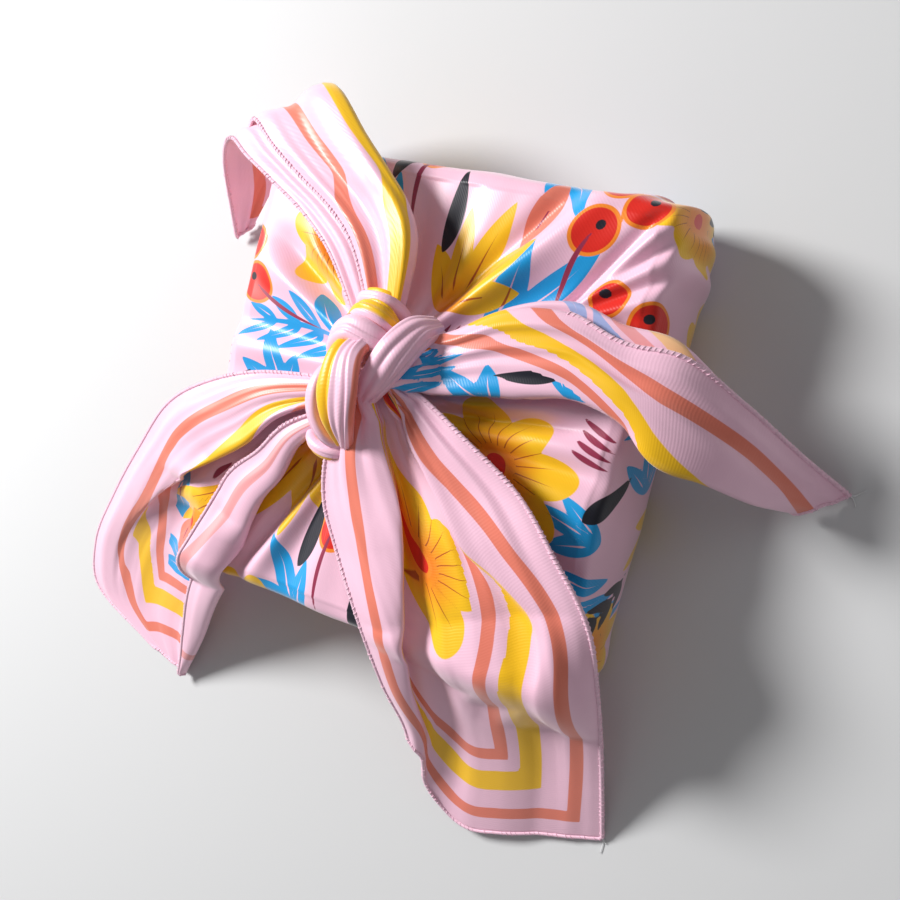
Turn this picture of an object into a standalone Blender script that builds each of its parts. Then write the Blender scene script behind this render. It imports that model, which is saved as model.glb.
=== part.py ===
# Furoshiki wrap: one square scarf folded over a flat square parcel and tied on top in a
# knot with four free tails. It rests on its flat base.
# Metres, +Z up. The origin is the middle of the base, +X to the right, +Y to the back.
# The tables below are in millimetres.
import math

import bmesh
import bpy
from mathutils import Vector

MM = 0.001


def named_rows(columns, rows):
    """A table as one dictionary a row, so that each value is used by its column's name."""
    return [dict(zip(columns, row)) for row in rows]


# Driving dimensions
PARCEL_SIDE = 190.0          # width and depth of the wrapped parcel
PARCEL_HEIGHT = 52.0         # base to the smooth part of the top face
OUTLINE_POWER = 18.0         # how square the plan outline is: 2 is round, more is squarer
CLOTH = 1.0                  # sheet thickness of a tail
MERGE = 0.005                # points closer than this are one
FLOOR_GAP = 0.9              # lowest a tail's middle surface may come to the floor
TAIL_GAP = 2.0               # a tail clears the face and its edges by this much
EDGE_FALL = (6.0, 14.0, 16.0)  # a tail leaves the face this far in, over this width, by this drop
KNOT_CENTRE = (-3.0, 9.0, 64.0)
MOUND_HEIGHT = 17.0          # the gathered cloth that rises under the knot
MOUND_RADIUS = 25.0

# Mesh steps
BODY_SPOKES = 120
TOP_RINGS = 10
TAIL_ROWS = 15
ACROSS_STEP = 9.0            # a column of faces about every so many millimetres
BAND_RINGS = 9
BAND_SIDES = 10

# The side of the parcel from the top face's edge down: how far in from the outline, and height
SIDE_COLUMNS = ("inset", "height")
SIDE_PROFILE = named_rows(SIDE_COLUMNS, [
    (7.0, 52.0),
    (2.3, 50.0),
    (0.2, 45.0),
    (-1.6, 26.0),
    (0.8, 8.0),
    (5.5, 0.0),
])

# Folds of the top face, each a ridge from the knot outwards with a crease along one side.
# The crease is the depth on the left of the ridge as seen from the knot, or on the right if negative.
FOLD_COLUMNS = ("name", "near x", "near y", "far x", "far y", "width", "height", "crease")
FACE_FOLDS = named_rows(FOLD_COLUMNS, [
    ("back ridge", -11, 34, -27, 96, 9.0, 3.4, 3.0),
    ("taut roll", 13, 34, 66, 94, 8.0, 4.8, 3.8),
    ("corner swell", 24, 49, 92, 94, 11.0, 2.4, -1.0),
    ("corner pleat", 62, 49, 93, 88, 4.0, 3.2, 2.6),
    ("edge pleat", 60, 46, 99, 78, 4.0, 3.0, 2.4),
    ("low pleat", 58, 42, 102, 64, 4.5, 2.6, 2.0),
    ("cord ridge", 22, 4, 72, 14, 4.6, 4.4, -2.8),
    ("petal ridge", 24, -4, 88, 0, 6.0, 3.0, -2.0),
    ("broad ridge", 30, -8, 98, -21, 9.0, 4.2, -2.6),
    ("broad roll", 32, -14, 99, -36, 9.0, 3.8, -3.0),
    ("front tube", -19, -28, -54, -94, 6.0, 4.6, -4.0),
    ("front hollow", -12, -30, -20, -96, 10.0, 2.2, -1.2),
    ("left swell", -36, -24, -96, -58, 12.0, 2.8, -1.6),
    ("left ridge", -38, 6, -96, 4, 8.0, 2.6, -2.0),
    ("taper ridge", -31, 18, -82, 42, 7.5, 5.4, -4.0),
    ("short ridge", -24, 27, -64, 56, 7.0, 4.6, -3.6),
    ("back corner swell", -20, 40, -92, 92, 12.0, 3.0, -1.4),
])

# Soft folds in the sides, gathered where the cloth turns a corner: direction from the middle of
# the parcel in degrees, how wide the fold is in degrees, and how far it stands out at mid height
SIDE_FOLD_COLUMNS = ("direction", "spread", "proud")
SIDE_FOLDS = named_rows(SIDE_FOLD_COLUMNS, [
    (12, 5, 1.4),
    (37, 4, 2.2),
    (52, 4, 1.8),
    (84, 7, 1.2),
    (128, 4, 2.0),
    (142, 4, 1.8),
    (176, 8, 1.4),
    (219, 4, 2.2),
    (233, 4, 1.6),
    (262, 7, 1.2),
    (308, 4, 2.0),
    (322, 4, 1.8),
    (345, 6, 1.0),
])

# A tail is a corner of the scarf. Its sections run from the knot to the end, and each gives the two
# sides of the tail's outline. Its folds run the other way: a row is one line of the cloth from the
# knot to the end, in order from one hem to the other. "across" places it between the left side, 0,
# and the right side, 1, and "lift" raises it, each at the knot, near it, farther out and at the end.
# "reach" is how far along the tail the line runs.
SECTION_COLUMNS = ("left x", "left y", "left z", "right x", "right y", "right z")
TAIL_FOLD_COLUMNS = ("name", "across", "lift", "reach")

FRONT_SECTIONS = named_rows(SECTION_COLUMNS, [
    (-13, 2, 65, 10, 8, 65),
    (-18, -26, 66, 37, -4, 65),
    (-16, -46, 63, 65, -19, 62),
    (-7, -62, 61, 86, -38, 61),
    (9, -85, 59, 101, -57, 55),
    (20, -111, 45, 106, -83, 40),
    (28, -135, 26, 108, -113, 20),
    (25, -180, 5, 111, -149, 1),
])
FRONT_FOLDS = named_rows(TAIL_FOLD_COLUMNS, [
    ("hem", (1.0, 1.0, 1.0, 1.0), (5, 5, 3, 0.5), 1.0),
    ("band", (0.86, 0.83, 0.88, 0.90), (6, 6.4, 4, 1), 1.0),
    ("band edge", (0.68, 0.63, 0.62, 0.80, 0.80, 0.82), (5.5, 5.8, 5.6, 3.2, 1.8, 1), 1.0),
    ("band foot", (0.65, 0.60, 0.59, 0.76, 0.76, 0.78), (0.2, 0.4, 0.6, 1.4, 1.2, 1), 1.0),
    ("panel", (0.60, 0.53, 0.52, 0.50), (-0.4, 0.6, 2.5, 2), 1.0),
    ("panel edge", (0.55, 0.46, 0.38, 0.36), (-0.6, -0.5, 1.6, 1), 1.0),
    ("valley", (0.50, 0.40, 0.27, 0.24), (-1.5, -2.2, -2.8, -1), 0.985),
    ("lobe foot", (0.46, 0.36, 0.14, 0.09), (-1.3, -1.8, -2.0, 0.2), 0.935),
    ("lobe edge", (0.49, 0.41, 0.17, 0.03), (5.2, 5.0, 4.2, 1.2), 0.885),
    ("lobe", (0.28, 0.22, 0.09, 0.015), (6.4, 6.4, 5.2, 1.4), 0.872),
    ("other hem", (0.0, 0.0, 0.0, 0.0), (1.2, 1.2, 1.4, 1.2), 0.86),
])

RIGHT_SECTIONS = named_rows(SECTION_COLUMNS, [
    (0, 4, 65, 6, 24, 66),
    (28, 8, 66, 24, 31, 69),
    (52, 13, 64, 43, 43, 68),
    (76, 19, 62, 66, 47, 66),
    (96, 14, 61, 89, 41, 63.5),
    (109, 4, 58, 110, 41, 60),
    (124, 2, 50, 130, 31, 44),
    (139, -2, 28, 148, 19, 21),
    (149, -2, 9, 165, 9, 1.5),
])
RIGHT_FOLDS = named_rows(TAIL_FOLD_COLUMNS, [
    ("hem", (1.0, 1.0, 1.0, 1.0), (0, 0, 0, 0), 1.0),
    ("shoulder", (0.84, 0.82, 0.80, 0.75), (2, 3, 2.5, 1), 1.0),
    ("hollow", (0.60, 0.56, 0.52, 0.50), (0, 0.5, 0.3, 0.5), 1.0),
    ("roll", (0.34, 0.28, 0.26, 0.25), (2.4, 3, 3.5, 1), 1.0),
    ("fold over", (0.0, 0.0, 0.0, 0.0), (1.4, 1.4, 1.4, 0.8), 1.0),
    ("fold under", (0.0, 0.0, 0.0, 0.0), (-1.4, -1.4, -1.4, -1.6), 0.985),
    ("reverse", (0.5, 0.5, 0.5, 0.4), (-3.2, -3.2, -3.2, -3.2), 0.90),
    ("back edge", (0.92, 0.95, 1.06, 1.20, 1.04, 1.0, 1.0), (-3.2, -3.2, -3.2, -3.2), 0.82),
    ("back turn", (0.92, 0.95, 1.06, 1.20, 1.04, 1.0, 1.0), (-5.6, -5.6, -5.6, -5.6), 0.81),
    ("other hem", (0.7, 0.75, 0.85, 0.98, 0.85, 0.8, 0.8), (-5.9, -5.9, -5.9, -5.9), 0.80),
])

BACK_SECTIONS = named_rows(SECTION_COLUMNS, [
    (-16, 18, 65, -2, 30, 65),
    (-43, 51, 67, -2, 61, 68),
    (-62, 64, 65, -10, 74, 67),
    (-84, 75, 64, -22, 85, 67),
    (-102, 84, 63, -38, 98, 66),
    (-118, 92, 58, -61, 116, 61),
    (-131, 86, 44, -82, 116, 44),
    (-141, 68, 22, -112, 96, 20),
    (-148, 54, 4, -139, 61, 4),
])
BACK_FOLDS = named_rows(TAIL_FOLD_COLUMNS, [
    ("other hem", (0.0, 0.0, 0.0, 0.0), (-2.5, -2.5, -2, -1.3), 1.0),
    ("reverse band", (0.25, 0.22, 0.2, 0.2), (-2, -1.8, -2, -1.3), 1.0),
    ("reverse", (0.6, 0.6, 0.55, 0.6), (-2.8, -2.8, -2.4, -1.3), 1.0),
    ("fold under", (1.0, 1.0, 1.0, 1.0), (-1.3, -1.3, -1.3, -1.2), 1.0),
    ("fold over", (1.0, 1.0, 1.0, 1.0), (1.3, 1.3, 1.3, 1.2), 1.0),
    ("yellow ridge", (0.86, 0.84, 0.84, 0.84), (3.4, 3.2, 2.5, 1.4), 1.0),
    ("hollow", (0.62, 0.6, 0.6, 0.6), (0.8, 1.0, 0.8, 1.3), 1.0),
    ("hem side", (0.45, 0.42, 0.4, 0.4), (2.5, 2.6, 2, 1.3), 1.0),
    ("hem", (0.34, 0.30, 0.28, 0.26), (1.2, 1.3, 1.2, 1.3), 1.0),
])

LEFT_SECTIONS = named_rows(SECTION_COLUMNS, [
    (-22, 2, 64, -14, -10, 64),
    (-64, -5, 64, -33, -28, 66),
    (-89, -14, 61, -40, -44, 64),
    (-112, -28, 57, -49, -57, 62),
    (-136, -54, 45, -56, -75, 58),
    (-163, -84, 28, -64, -93, 50),
    (-186, -117, 11, -79, -113, 37),
    (-187, -140, 3, -97, -139, 18),
    (-143, -159, 1.5, -114, -164, 3),
])
LEFT_FOLDS = named_rows(TAIL_FOLD_COLUMNS, [
    ("hem", (0.0, 0.0, 0.0, 0.0), (3, 3, 1, 0), 1.0),
    ("band", (0.34, 0.32, 0.12, 0.1), (6, 7.5, 4, 0), 1.0),
    ("band edge", (0.60, 0.62, 0.23, 0.2), (5, 6, 2.8, 0), 1.0),
    ("band turn", (0.60, 0.60, 0.245, 0.25), (2.4, 3.2, 1.4, 0), 1.0),
    ("tuck", (0.40, 0.40, 0.27, 0.31), (2.4, 2.4, 0, 0), 1.0),
    ("tuck turn", (0.40, 0.40, 0.31, 0.37), (-0.2, -0.4, -1.6, 0), 1.0),
    ("cup", (0.62, 0.62, 0.48, 0.5), (-1.2, -2.6, -6.5, 0), 1.0),
    ("cup side", (0.84, 0.84, 0.80, 0.8), (-1.4, -2.8, -6, 0), 1.0),
    ("fold under", (1.0, 1.0, 1.0, 1.0), (-1.3, -1.4, -1.4, 0.2), 1.0),
    ("fold over", (1.0, 1.0, 1.0, 1.0), (1.4, 1.4, 1.4, 1.8), 1.0),
    ("lobe", (0.90, 0.90, 0.88, 0.90, 0.93, 0.96), (4, 4.4, 4.4, 3.6), 1.0),
    ("other hem", (0.74, 0.74, 0.72, 0.79, 0.85, 0.92), (2.8, 3, 3, 3.2), 1.0),
])

TAILS = [
    ("front tail", FRONT_SECTIONS, FRONT_FOLDS),
    ("right tail", RIGHT_SECTIONS, RIGHT_FOLDS),
    ("back tail", BACK_SECTIONS, BACK_FOLDS),
    ("left tail", LEFT_SECTIONS, LEFT_FOLDS),
]

# The knot's turns of cloth, each a flat band through a few points: x, y, z, width and thickness
BAND_COLUMNS = ("x", "y", "z", "width", "thickness")
KNOT_BANDS = {
    "front wrap": named_rows(BAND_COLUMNS, [
        (-6, 22, 76, 12, 7),
        (-9, 13, 84, 19, 8),
        (-8, 0, 86, 22, 8),
        (-8, -11, 82, 19, 8),
        (-9, -21, 71, 9, 6),
    ]),
    "inner wrap": named_rows(BAND_COLUMNS, [
        (-20, 10, 71, 9, 6),
        (-24, -2, 76, 13, 7),
        (-23, -12, 75, 13, 7),
        (-18, -20, 72, 11, 6),
        (-12, -23, 66, 7, 5),
    ]),
    "knuckle": named_rows(BAND_COLUMNS, [
        (-23, 9, 68, 11, 8),
        (-19, 19, 76, 15, 9),
        (-11, 24, 79, 16, 9),
        (-2, 22, 78, 14, 8),
        (4, 17, 70, 10, 7),
    ]),
    "upper turn": named_rows(BAND_COLUMNS, [
        (-19, 26, 70, 8, 7),
        (-10, 31, 76, 10, 8),
        (-3, 30, 76, 10, 8),
        (2, 24, 70, 8, 7),
    ]),
    "top turn": named_rows(BAND_COLUMNS, [
        (-22, 33, 62, 7, 6),
        (-15, 36, 69, 9, 7),
        (-6, 36, 70, 9, 7),
        (0, 31, 63, 8, 6),
    ]),
    "cross wrap": named_rows(BAND_COLUMNS, [
        (15, 31, 64, 10, 6),
        (13, 27, 74, 14, 7),
        (10, 18, 80, 15, 7),
        (4, 7, 79, 13, 7),
        (-5, -4, 72, 8, 6),
    ]),
    "low wrap": named_rows(BAND_COLUMNS, [
        (-30, -18, 60, 8, 6),
        (-24, -25, 67, 10, 7),
        (-15, -26, 67, 10, 7),
        (-8, -20, 62, 8, 6),
    ]),
}
BAND_GROOVES = 3
BAND_GROOVE_DEPTH = 0.05

SATIN_COLOUR = (0.86, 0.56, 0.66, 1.0)
SATIN_ROUGHNESS = 0.38


def curve_through(points, position):
    """A point on a smooth centripetal curve through the points; position counts the points."""
    last = len(points) - 1
    index = min(int(position), last - 1)
    share = position - index
    second, third = points[index], points[index + 1]
    first = points[index - 1] if index > 0 else second * 2 - third
    fourth = points[index + 2] if index + 2 <= last else third * 2 - second
    knots = [0.0]
    for a, b in ((first, second), (second, third), (third, fourth)):
        knots.append(knots[-1] + max((b - a).length, 1e-6) ** 0.5)
    t = knots[1] + (knots[2] - knots[1]) * share

    def mix(a, b, low, high):
        return a + (b - a) * ((t - low) / (high - low))

    level_a = mix(first, second, knots[0], knots[1])
    level_b = mix(second, third, knots[1], knots[2])
    level_c = mix(third, fourth, knots[2], knots[3])
    level_d = mix(level_a, level_b, knots[0], knots[2])
    level_e = mix(level_b, level_c, knots[1], knots[3])
    return mix(level_d, level_e, knots[1], knots[2])


def value_along(values, share):
    """A smooth value between evenly spaced ones, share from 0 to 1."""
    points = [Vector((index, value, 0.0)) for index, value in enumerate(values)]
    return curve_through(points, share * (len(values) - 1)).y


def fold_height(x, y, fold):
    """How much one fold raises or lowers the top face at a place."""
    off_x, off_y = x - fold["near x"], y - fold["near y"]
    run_x, run_y = fold["far x"] - fold["near x"], fold["far y"] - fold["near y"]
    length = math.hypot(run_x, run_y)
    along = (off_x * run_x + off_y * run_y) / length ** 2
    aside = (off_y * run_x - off_x * run_y) / length
    spread = fold["width"] * (0.6 + 0.4 * min(max(along, 0.0), 1.0))
    start = 1.0 / (1.0 + math.exp(-14.0 * (along + 0.02)))
    finish = 1.0 / (1.0 + math.exp(11.0 * (along - 0.98)))
    ridge = fold["height"] * math.exp(-(aside / spread) ** 2)
    crease_at = math.copysign(1.5 * spread, fold["crease"])
    trough = abs(fold["crease"]) * math.exp(-((aside - crease_at) / (0.75 * spread)) ** 2)
    return start * finish * (ridge - trough)


def face_height(x, y):
    """Height of the top face above its smooth level."""
    from_knot = math.hypot(x - KNOT_CENTRE[0], y - KNOT_CENTRE[1])
    mound = MOUND_HEIGHT * math.exp(-(from_knot / MOUND_RADIUS) ** 2.6)
    return mound + sum(fold_height(x, y, fold) for fold in FACE_FOLDS)


def outline_radius(angle, half_side):
    """Distance from the knot to the rounded square outline, in the given direction."""
    low, high = 0.0, 2.0 * half_side
    for _ in range(40):
        middle = (low + high) / 2
        x = KNOT_CENTRE[0] + middle * math.cos(angle)
        y = KNOT_CENTRE[1] + middle * math.sin(angle)
        inside = abs(x / half_side) ** OUTLINE_POWER + abs(y / half_side) ** OUTLINE_POWER < 1.0
        low, high = (middle, high) if inside else (low, middle)
    return low


def support_height(x, y):
    """The lowest that a tail may lie at a place: on the face, then falling away past its edge."""
    half = PARCEL_SIDE / 2
    size = (abs(x / half) ** OUTLINE_POWER + abs(y / half) ** OUTLINE_POWER) ** (1 / OUTLINE_POWER)
    inset, width, drop = EDGE_FALL
    share = ((size - 1.0) * half + inset) / width
    return PARCEL_HEIGHT + face_height(x, y) + TAIL_GAP - drop * max(share, 0.0) ** 2


def side_fold(x, y, height):
    """How far the side stands out at a place, strongest at mid height."""
    direction = math.degrees(math.atan2(y, x)) % 360.0
    swell = 0.0
    for fold in SIDE_FOLDS:
        away = abs((direction - fold["direction"] + 180.0) % 360.0 - 180.0)
        swell += fold["proud"] * math.exp(-(away / fold["spread"]) ** 2)
    share = max(0.0, min(1.0, height / PARCEL_HEIGHT))
    return swell * math.sin(math.pi * share) ** 0.7


def body_rings():
    """Rings of points from the knot out over the top face, down the sides and under the base."""
    rings = []
    half = PARCEL_SIDE / 2
    angles = [2 * math.pi * spoke / BODY_SPOKES for spoke in range(BODY_SPOKES)]
    edge_inset = SIDE_PROFILE[0]["inset"]
    for ring in range(1, TOP_RINGS + 1):
        share = (ring / TOP_RINGS) ** 1.15
        points = []
        for angle in angles:
            radius = outline_radius(angle, half - edge_inset) * share
            x = KNOT_CENTRE[0] + radius * math.cos(angle)
            y = KNOT_CENTRE[1] + radius * math.sin(angle)
            points.append(Vector((x, y, PARCEL_HEIGHT + face_height(x, y))))
        rings.append(points)
    for level in SIDE_PROFILE[1:]:
        height = level["height"]
        points = []
        for angle in angles:
            radius = outline_radius(angle, half - level["inset"])
            x = KNOT_CENTRE[0] + radius * math.cos(angle)
            y = KNOT_CENTRE[1] + radius * math.sin(angle)
            stand = 1.0 + side_fold(x, y, height) / half
            rise = height
            if height > 40.0:
                rise += face_height(x, y) * (height - 40.0) / (PARCEL_HEIGHT - 40.0)
            points.append(Vector((x * stand, y * stand, rise)))
        rings.append(points)
    return rings


def body_faces(rings):
    top = Vector((KNOT_CENTRE[0], KNOT_CENTRE[1], 0.0))
    top.z = PARCEL_HEIGHT + face_height(top.x, top.y)
    vertices = [top]
    for ring in rings:
        vertices.extend(ring)
    base = len(vertices)
    vertices.append(Vector((KNOT_CENTRE[0], KNOT_CENTRE[1], 0.0)))
    faces = []
    for spoke in range(BODY_SPOKES):
        after = (spoke + 1) % BODY_SPOKES
        faces.append((0, 1 + spoke, 1 + after))
        for ring in range(len(rings) - 1):
            inner = 1 + ring * BODY_SPOKES
            outer = inner + BODY_SPOKES
            faces.append((inner + spoke, outer + spoke, outer + after, inner + after))
        last = 1 + (len(rings) - 1) * BODY_SPOKES
        faces.append((last + spoke, base, last + after))
    return vertices, faces


def tail_frame(left, right, place):
    """The two sides of a tail at a place along it, and the direction that its face looks."""
    last = len(left) - 1
    before, beyond = max(place - 0.1, 0.0), min(place + 0.1, last)
    near, far = curve_through(left, place), curve_through(right, place)
    ahead = (curve_through(left, beyond) + curve_through(right, beyond)
             - curve_through(left, before) - curve_through(right, before))
    return near, far, ahead.cross(far - near).normalized()


def tail_lines(sections, folds):
    """The middle surface of a tail: for each row from knot to end, a point on each fold line."""
    left = [Vector((row["left x"], row["left y"], row["left z"])) for row in sections]
    right = [Vector((row["right x"], row["right y"], row["right z"])) for row in sections]
    facing = math.copysign(1.0, tail_frame(left, right, 1.0)[2].z)
    rows = []
    for row in range(TAIL_ROWS + 1):
        points = []
        for fold in folds:
            share = fold["reach"] * row / TAIL_ROWS
            near, far, up = tail_frame(left, right, share * (len(sections) - 1))
            point = near + (far - near) * value_along(fold["across"], share)
            raised = value_along(fold["lift"], share)
            lowest = min(value_along(other["lift"], share) for other in folds)
            point += up * (facing * raised)
            point.z = max(point.z, support_height(point.x, point.y) + raised - lowest)
            points.append(point)
        rows.append(points)
    return rows


def tail_grid(sections, folds):
    rows = tail_lines(sections, folds)
    middle = rows[len(rows) // 2]
    positions = []
    for index in range(len(folds) - 1):
        gap = (middle[index + 1] - middle[index]).length
        steps = max(1, round(gap / ACROSS_STEP))
        positions.extend(index + step / steps for step in range(steps))
    positions.append(len(folds) - 1.0)
    return [[curve_through(points, position) for position in positions] for points in rows]


def thick_sheet(grid):
    """A closed sheet of cloth around a grid of points."""
    rows, columns = len(grid), len(grid[0])
    upper, lower = [], []
    for row in range(rows):
        for column in range(columns):
            ahead = grid[min(row + 1, rows - 1)][column] - grid[max(row - 1, 0)][column]
            aside = grid[row][min(column + 1, columns - 1)] - grid[row][max(column - 1, 0)]
            normal = ahead.cross(aside).normalized()
            point = grid[row][column].copy()
            point.z = max(point.z, FLOOR_GAP)
            upper.append(point + normal * (CLOTH / 2))
            lower.append(point - normal * (CLOTH / 2))
    for point in upper + lower:
        point.z = max(point.z, 0.3)
    count = rows * columns
    faces = []
    for row in range(rows - 1):
        for column in range(columns - 1):
            a = row * columns + column
            b, c, d = a + 1, a + columns + 1, a + columns
            faces.append((a, d, c, b))
            faces.append((a + count, b + count, c + count, d + count))
    border = [(row * columns, (row + 1) * columns) for row in range(rows - 1)]
    border += [((rows - 1) * columns + column, (rows - 1) * columns + column + 1)
               for column in range(columns - 1)]
    border += [((row + 1) * columns + columns - 1, row * columns + columns - 1)
               for row in reversed(range(rows - 1))]
    border += [(column + 1, column) for column in reversed(range(columns - 1))]
    for a, b in border:
        faces.append((a, a + count, b + count, b))
    return upper + lower, faces


def band_faces(table):
    """A knot band: flat rings with shallow grooves, swept along its points."""
    centre = Vector(KNOT_CENTRE)
    path = [Vector((row["x"], row["y"], row["z"])) for row in table]
    widths = [row["width"] for row in table]
    thicknesses = [row["thickness"] for row in table]
    vertices, faces = [], []
    for ring in range(BAND_RINGS):
        share = ring / (BAND_RINGS - 1)
        place = share * (len(path) - 1)
        point = curve_through(path, place)
        ahead = curve_through(path, min(place + 0.05, len(path) - 1))
        ahead = (ahead - curve_through(path, max(place - 0.05, 0.0))).normalized()
        outward = point - centre
        outward = (outward - ahead * outward.dot(ahead)).normalized()
        aside = ahead.cross(outward)
        half_width = value_along(widths, share) / 2
        half_depth = value_along(thicknesses, share) / 2
        for side in range(BAND_SIDES):
            turn = 2 * math.pi * side / BAND_SIDES
            groove = 1.0 - BAND_GROOVE_DEPTH * math.cos(BAND_GROOVES * 2 * turn)
            vertices.append(point + aside * (half_width * math.cos(turn))
                            + outward * (half_depth * groove * math.sin(turn)))
    for ring in range(BAND_RINGS - 1):
        for side in range(BAND_SIDES):
            a = ring * BAND_SIDES + side
            b = ring * BAND_SIDES + (side + 1) % BAND_SIDES
            faces.append((a, b, b + BAND_SIDES, a + BAND_SIDES))
    faces.append(tuple(reversed(range(BAND_SIDES))))
    first = (BAND_RINGS - 1) * BAND_SIDES
    faces.append(tuple(range(first, first + BAND_SIDES)))
    return vertices, faces


def new_object(name, vertices, faces):
    mesh = bpy.data.meshes.new(name)
    mesh.from_pydata([tuple(point * MM) for point in vertices], [], faces)
    mesh.validate()
    made = bpy.data.objects.new(name, mesh)
    bpy.context.scene.collection.objects.link(made)
    return made


def face_outwards(made):
    """Turns a closed mesh's faces outwards, as triangles, which stay flat when pieces are joined."""
    work = bmesh.new()
    work.from_mesh(made.data)
    bmesh.ops.triangulate(work, faces=work.faces)
    bmesh.ops.recalc_face_normals(work, faces=work.faces)
    if work.calc_volume(signed=True) < 0:
        bmesh.ops.reverse_faces(work, faces=work.faces)
    work.to_mesh(made.data)
    work.free()


def keep_outer_skin(made):
    """Joins what the modifiers make into the mesh, and drops the pockets shut in between layers."""
    evaluated = made.evaluated_get(bpy.context.evaluated_depsgraph_get())
    joined = bpy.data.meshes.new_from_object(evaluated)
    made.modifiers.clear()
    made.data = joined
    work = bmesh.new()
    work.from_mesh(joined)
    bmesh.ops.remove_doubles(work, verts=work.verts, dist=MERGE * MM)
    bmesh.ops.dissolve_degenerate(work, edges=work.edges, dist=MERGE * MM)
    seen = set()
    shells = []
    for first in work.faces:
        if first in seen:
            continue
        seen.add(first)
        shell, waiting = [], [first]
        while waiting:
            face = waiting.pop()
            shell.append(face)
            for edge in face.edges:
                for other in edge.link_faces:
                    if other not in seen:
                        seen.add(other)
                        waiting.append(other)
        shells.append(shell)
    shells.sort(key=len, reverse=True)
    for shell in shells[1:]:
        bmesh.ops.delete(work, geom=shell, context='FACES')
    loose = [vertex for vertex in work.verts if not vertex.link_faces]
    bmesh.ops.delete(work, geom=loose, context='VERTS')
    bmesh.ops.triangulate(work, faces=work.faces)
    work.to_mesh(joined)
    work.free()


def add_guide(name, vertices, faces, group):
    guide = new_object(name, vertices, faces)
    face_outwards(guide)
    guide.hide_render = True
    guide.display_type = 'WIRE'
    group.objects.link(guide)
    bpy.context.scene.collection.objects.unlink(guide)


def satin_material():
    material = bpy.data.materials.new("satin")
    material.use_nodes = True
    shader = material.node_tree.nodes["Principled BSDF"]
    shader.inputs["Base Color"].default_value = SATIN_COLOUR
    shader.inputs["Roughness"].default_value = SATIN_ROUGHNESS
    shader.inputs["Metallic"].default_value = 0.0
    return material


def make_wrap():
    """The whole scarf is one piece: the parcel's cover, the knot and the four tails in one solid."""
    group = bpy.data.collections.new("knot and tails")
    bpy.context.scene.collection.children.link(group)
    for name, sections, folds in TAILS:
        add_guide(name, *thick_sheet(tail_grid(sections, folds)), group)
    for name, table in KNOT_BANDS.items():
        add_guide(name, *band_faces(table), group)
    wrap = new_object("wrap", *body_faces(body_rings()))
    face_outwards(wrap)
    wrap.data.materials.append(satin_material())
    for guide in group.objects:
        join = wrap.modifiers.new("join " + guide.name, 'BOOLEAN')
        join.operation = 'UNION'
        join.solver = 'EXACT'
        join.object = guide
    keep_outer_skin(wrap)
    wrap.data.shade_smooth()
    return wrap


for old in list(bpy.data.objects):
    bpy.data.objects.remove(old, do_unlink=True)
make_wrap()
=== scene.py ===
import math

import bmesh
import bpy
import numpy as np
from mathutils import Matrix, Vector


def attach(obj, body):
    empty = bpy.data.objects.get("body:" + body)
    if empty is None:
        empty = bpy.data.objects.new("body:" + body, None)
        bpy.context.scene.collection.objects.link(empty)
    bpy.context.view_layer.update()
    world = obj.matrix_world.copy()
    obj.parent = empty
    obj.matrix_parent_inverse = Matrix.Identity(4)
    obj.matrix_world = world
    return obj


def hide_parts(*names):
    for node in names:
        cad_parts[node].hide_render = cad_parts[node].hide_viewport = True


# Furoshiki wrap: a printed satin scarf tied over a flat square parcel, resting on its base.
# The solid is the fixed frame. Every piece here lies on it, in metres; the tables are in millimetres.
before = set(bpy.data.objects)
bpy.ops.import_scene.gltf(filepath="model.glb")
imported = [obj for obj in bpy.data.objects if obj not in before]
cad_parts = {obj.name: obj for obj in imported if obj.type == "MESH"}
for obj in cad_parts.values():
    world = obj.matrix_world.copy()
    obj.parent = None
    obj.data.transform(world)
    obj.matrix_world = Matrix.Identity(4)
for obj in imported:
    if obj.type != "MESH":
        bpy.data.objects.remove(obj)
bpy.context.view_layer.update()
mm = 0.001
random = np.random.default_rng(23)
print("frame loaded")


# helpers for curves, tables and meshes

def table(columns, rows):
    # one array for each named column; a column of tuples stays a list
    found = {}
    for place, name in enumerate(columns):
        values = [row[place] for row in rows]
        found[name] = values if isinstance(values[0], tuple) else np.array(values)
    return found


def columnPoints(found, before=""):
    # points from the x, y and z columns of a table
    return np.stack([found[before + axis] for axis in "xyz"], axis=1).astype(float)


def curveThrough(points, places):
    # smooth centripetal curve through the points; places count the points
    points = np.asarray(points, float)
    last = len(points) - 1
    places = np.asarray(places, float)
    index = np.minimum(places.astype(int), last - 1)
    padded = np.concatenate([[2 * points[0] - points[1]], points, [2 * points[-1] - points[-2]]])
    first, second, third, fourth = (padded[index + step] for step in range(4))
    gaps = [np.sqrt(np.maximum(np.linalg.norm(b - a, axis=-1, keepdims=True), 1e-6))
            for a, b in ((first, second), (second, third), (third, fourth))]
    k1 = gaps[0]
    k2 = k1 + gaps[1]
    k3 = k2 + gaps[2]
    share = (places - index).reshape(places.shape + (1,) * (gaps[0].ndim - places.ndim))
    t = k1 + gaps[1] * share
    a = first + (second - first) * (t / k1)
    b = second + (third - second) * ((t - k1) / (k2 - k1))
    c = third + (fourth - third) * ((t - k2) / (k3 - k2))
    d = a + (b - a) * (t / k2)
    e = b + (c - b) * ((t - k1) / (k3 - k1))
    return d + (e - d) * ((t - k1) / (k2 - k1))


def valueAlong(values, share):
    # a smooth value between evenly spaced ones, share from 0 to 1
    points = np.stack([np.arange(len(values), dtype=float), np.asarray(values, float)], axis=1)
    return curveThrough(points, np.asarray(share) * (len(values) - 1))[..., 1]


def unit(vectors):
    return vectors / np.maximum(np.linalg.norm(vectors, axis=-1, keepdims=True), 1e-9)


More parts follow.
